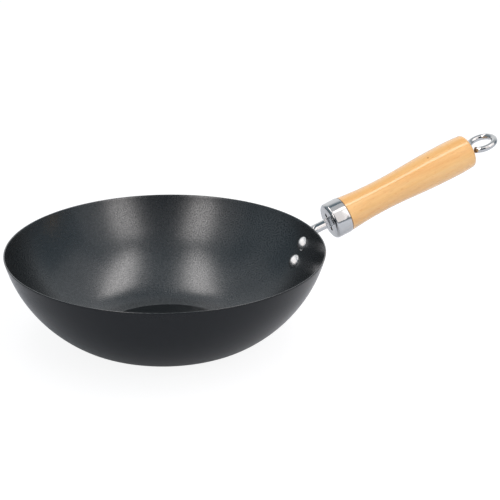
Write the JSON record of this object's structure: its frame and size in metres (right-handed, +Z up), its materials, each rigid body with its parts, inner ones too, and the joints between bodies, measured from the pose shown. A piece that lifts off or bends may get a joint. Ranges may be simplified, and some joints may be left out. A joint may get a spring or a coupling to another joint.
{
  "type": "wok",
  "caption": "Flat-bottomed non-stick wok with a riveted steel tang, ferrule, turned wooden grip and hanging eye, for frying on a hob.",
  "frame": {"origin": "centre of the bowl's flat underside, where it stands on the hob", "axes": "+X from the bowl's centre towards the handle, +Z up out of the bowl's mouth"},
  "size_m": [0.5055, 0.3, 0.1529],
  "materials": {
    "nonstick_steel": "satin non-stick coat on pressed steel",
    "chromed_steel": "bright chrome plate",
    "polished_rivet": "polished",
    "lacquered_wood": "clear gloss lacquer on pale turned wood",
    "zinc_plated_steel": "zinc plate"
  },
  "bodies": {
    "root": {"wok_bowl": "nonstick_steel", "handle_tang": "chromed_steel", "upper_rivet": "polished_rivet", "lower_rivet": "polished_rivet", "ferrule": "chromed_steel", "wooden_grip": "lacquered_wood", "hanging_eye": "chromed_steel", "tie_nut": "zinc_plated_steel"}
  },
  "joints": []
}
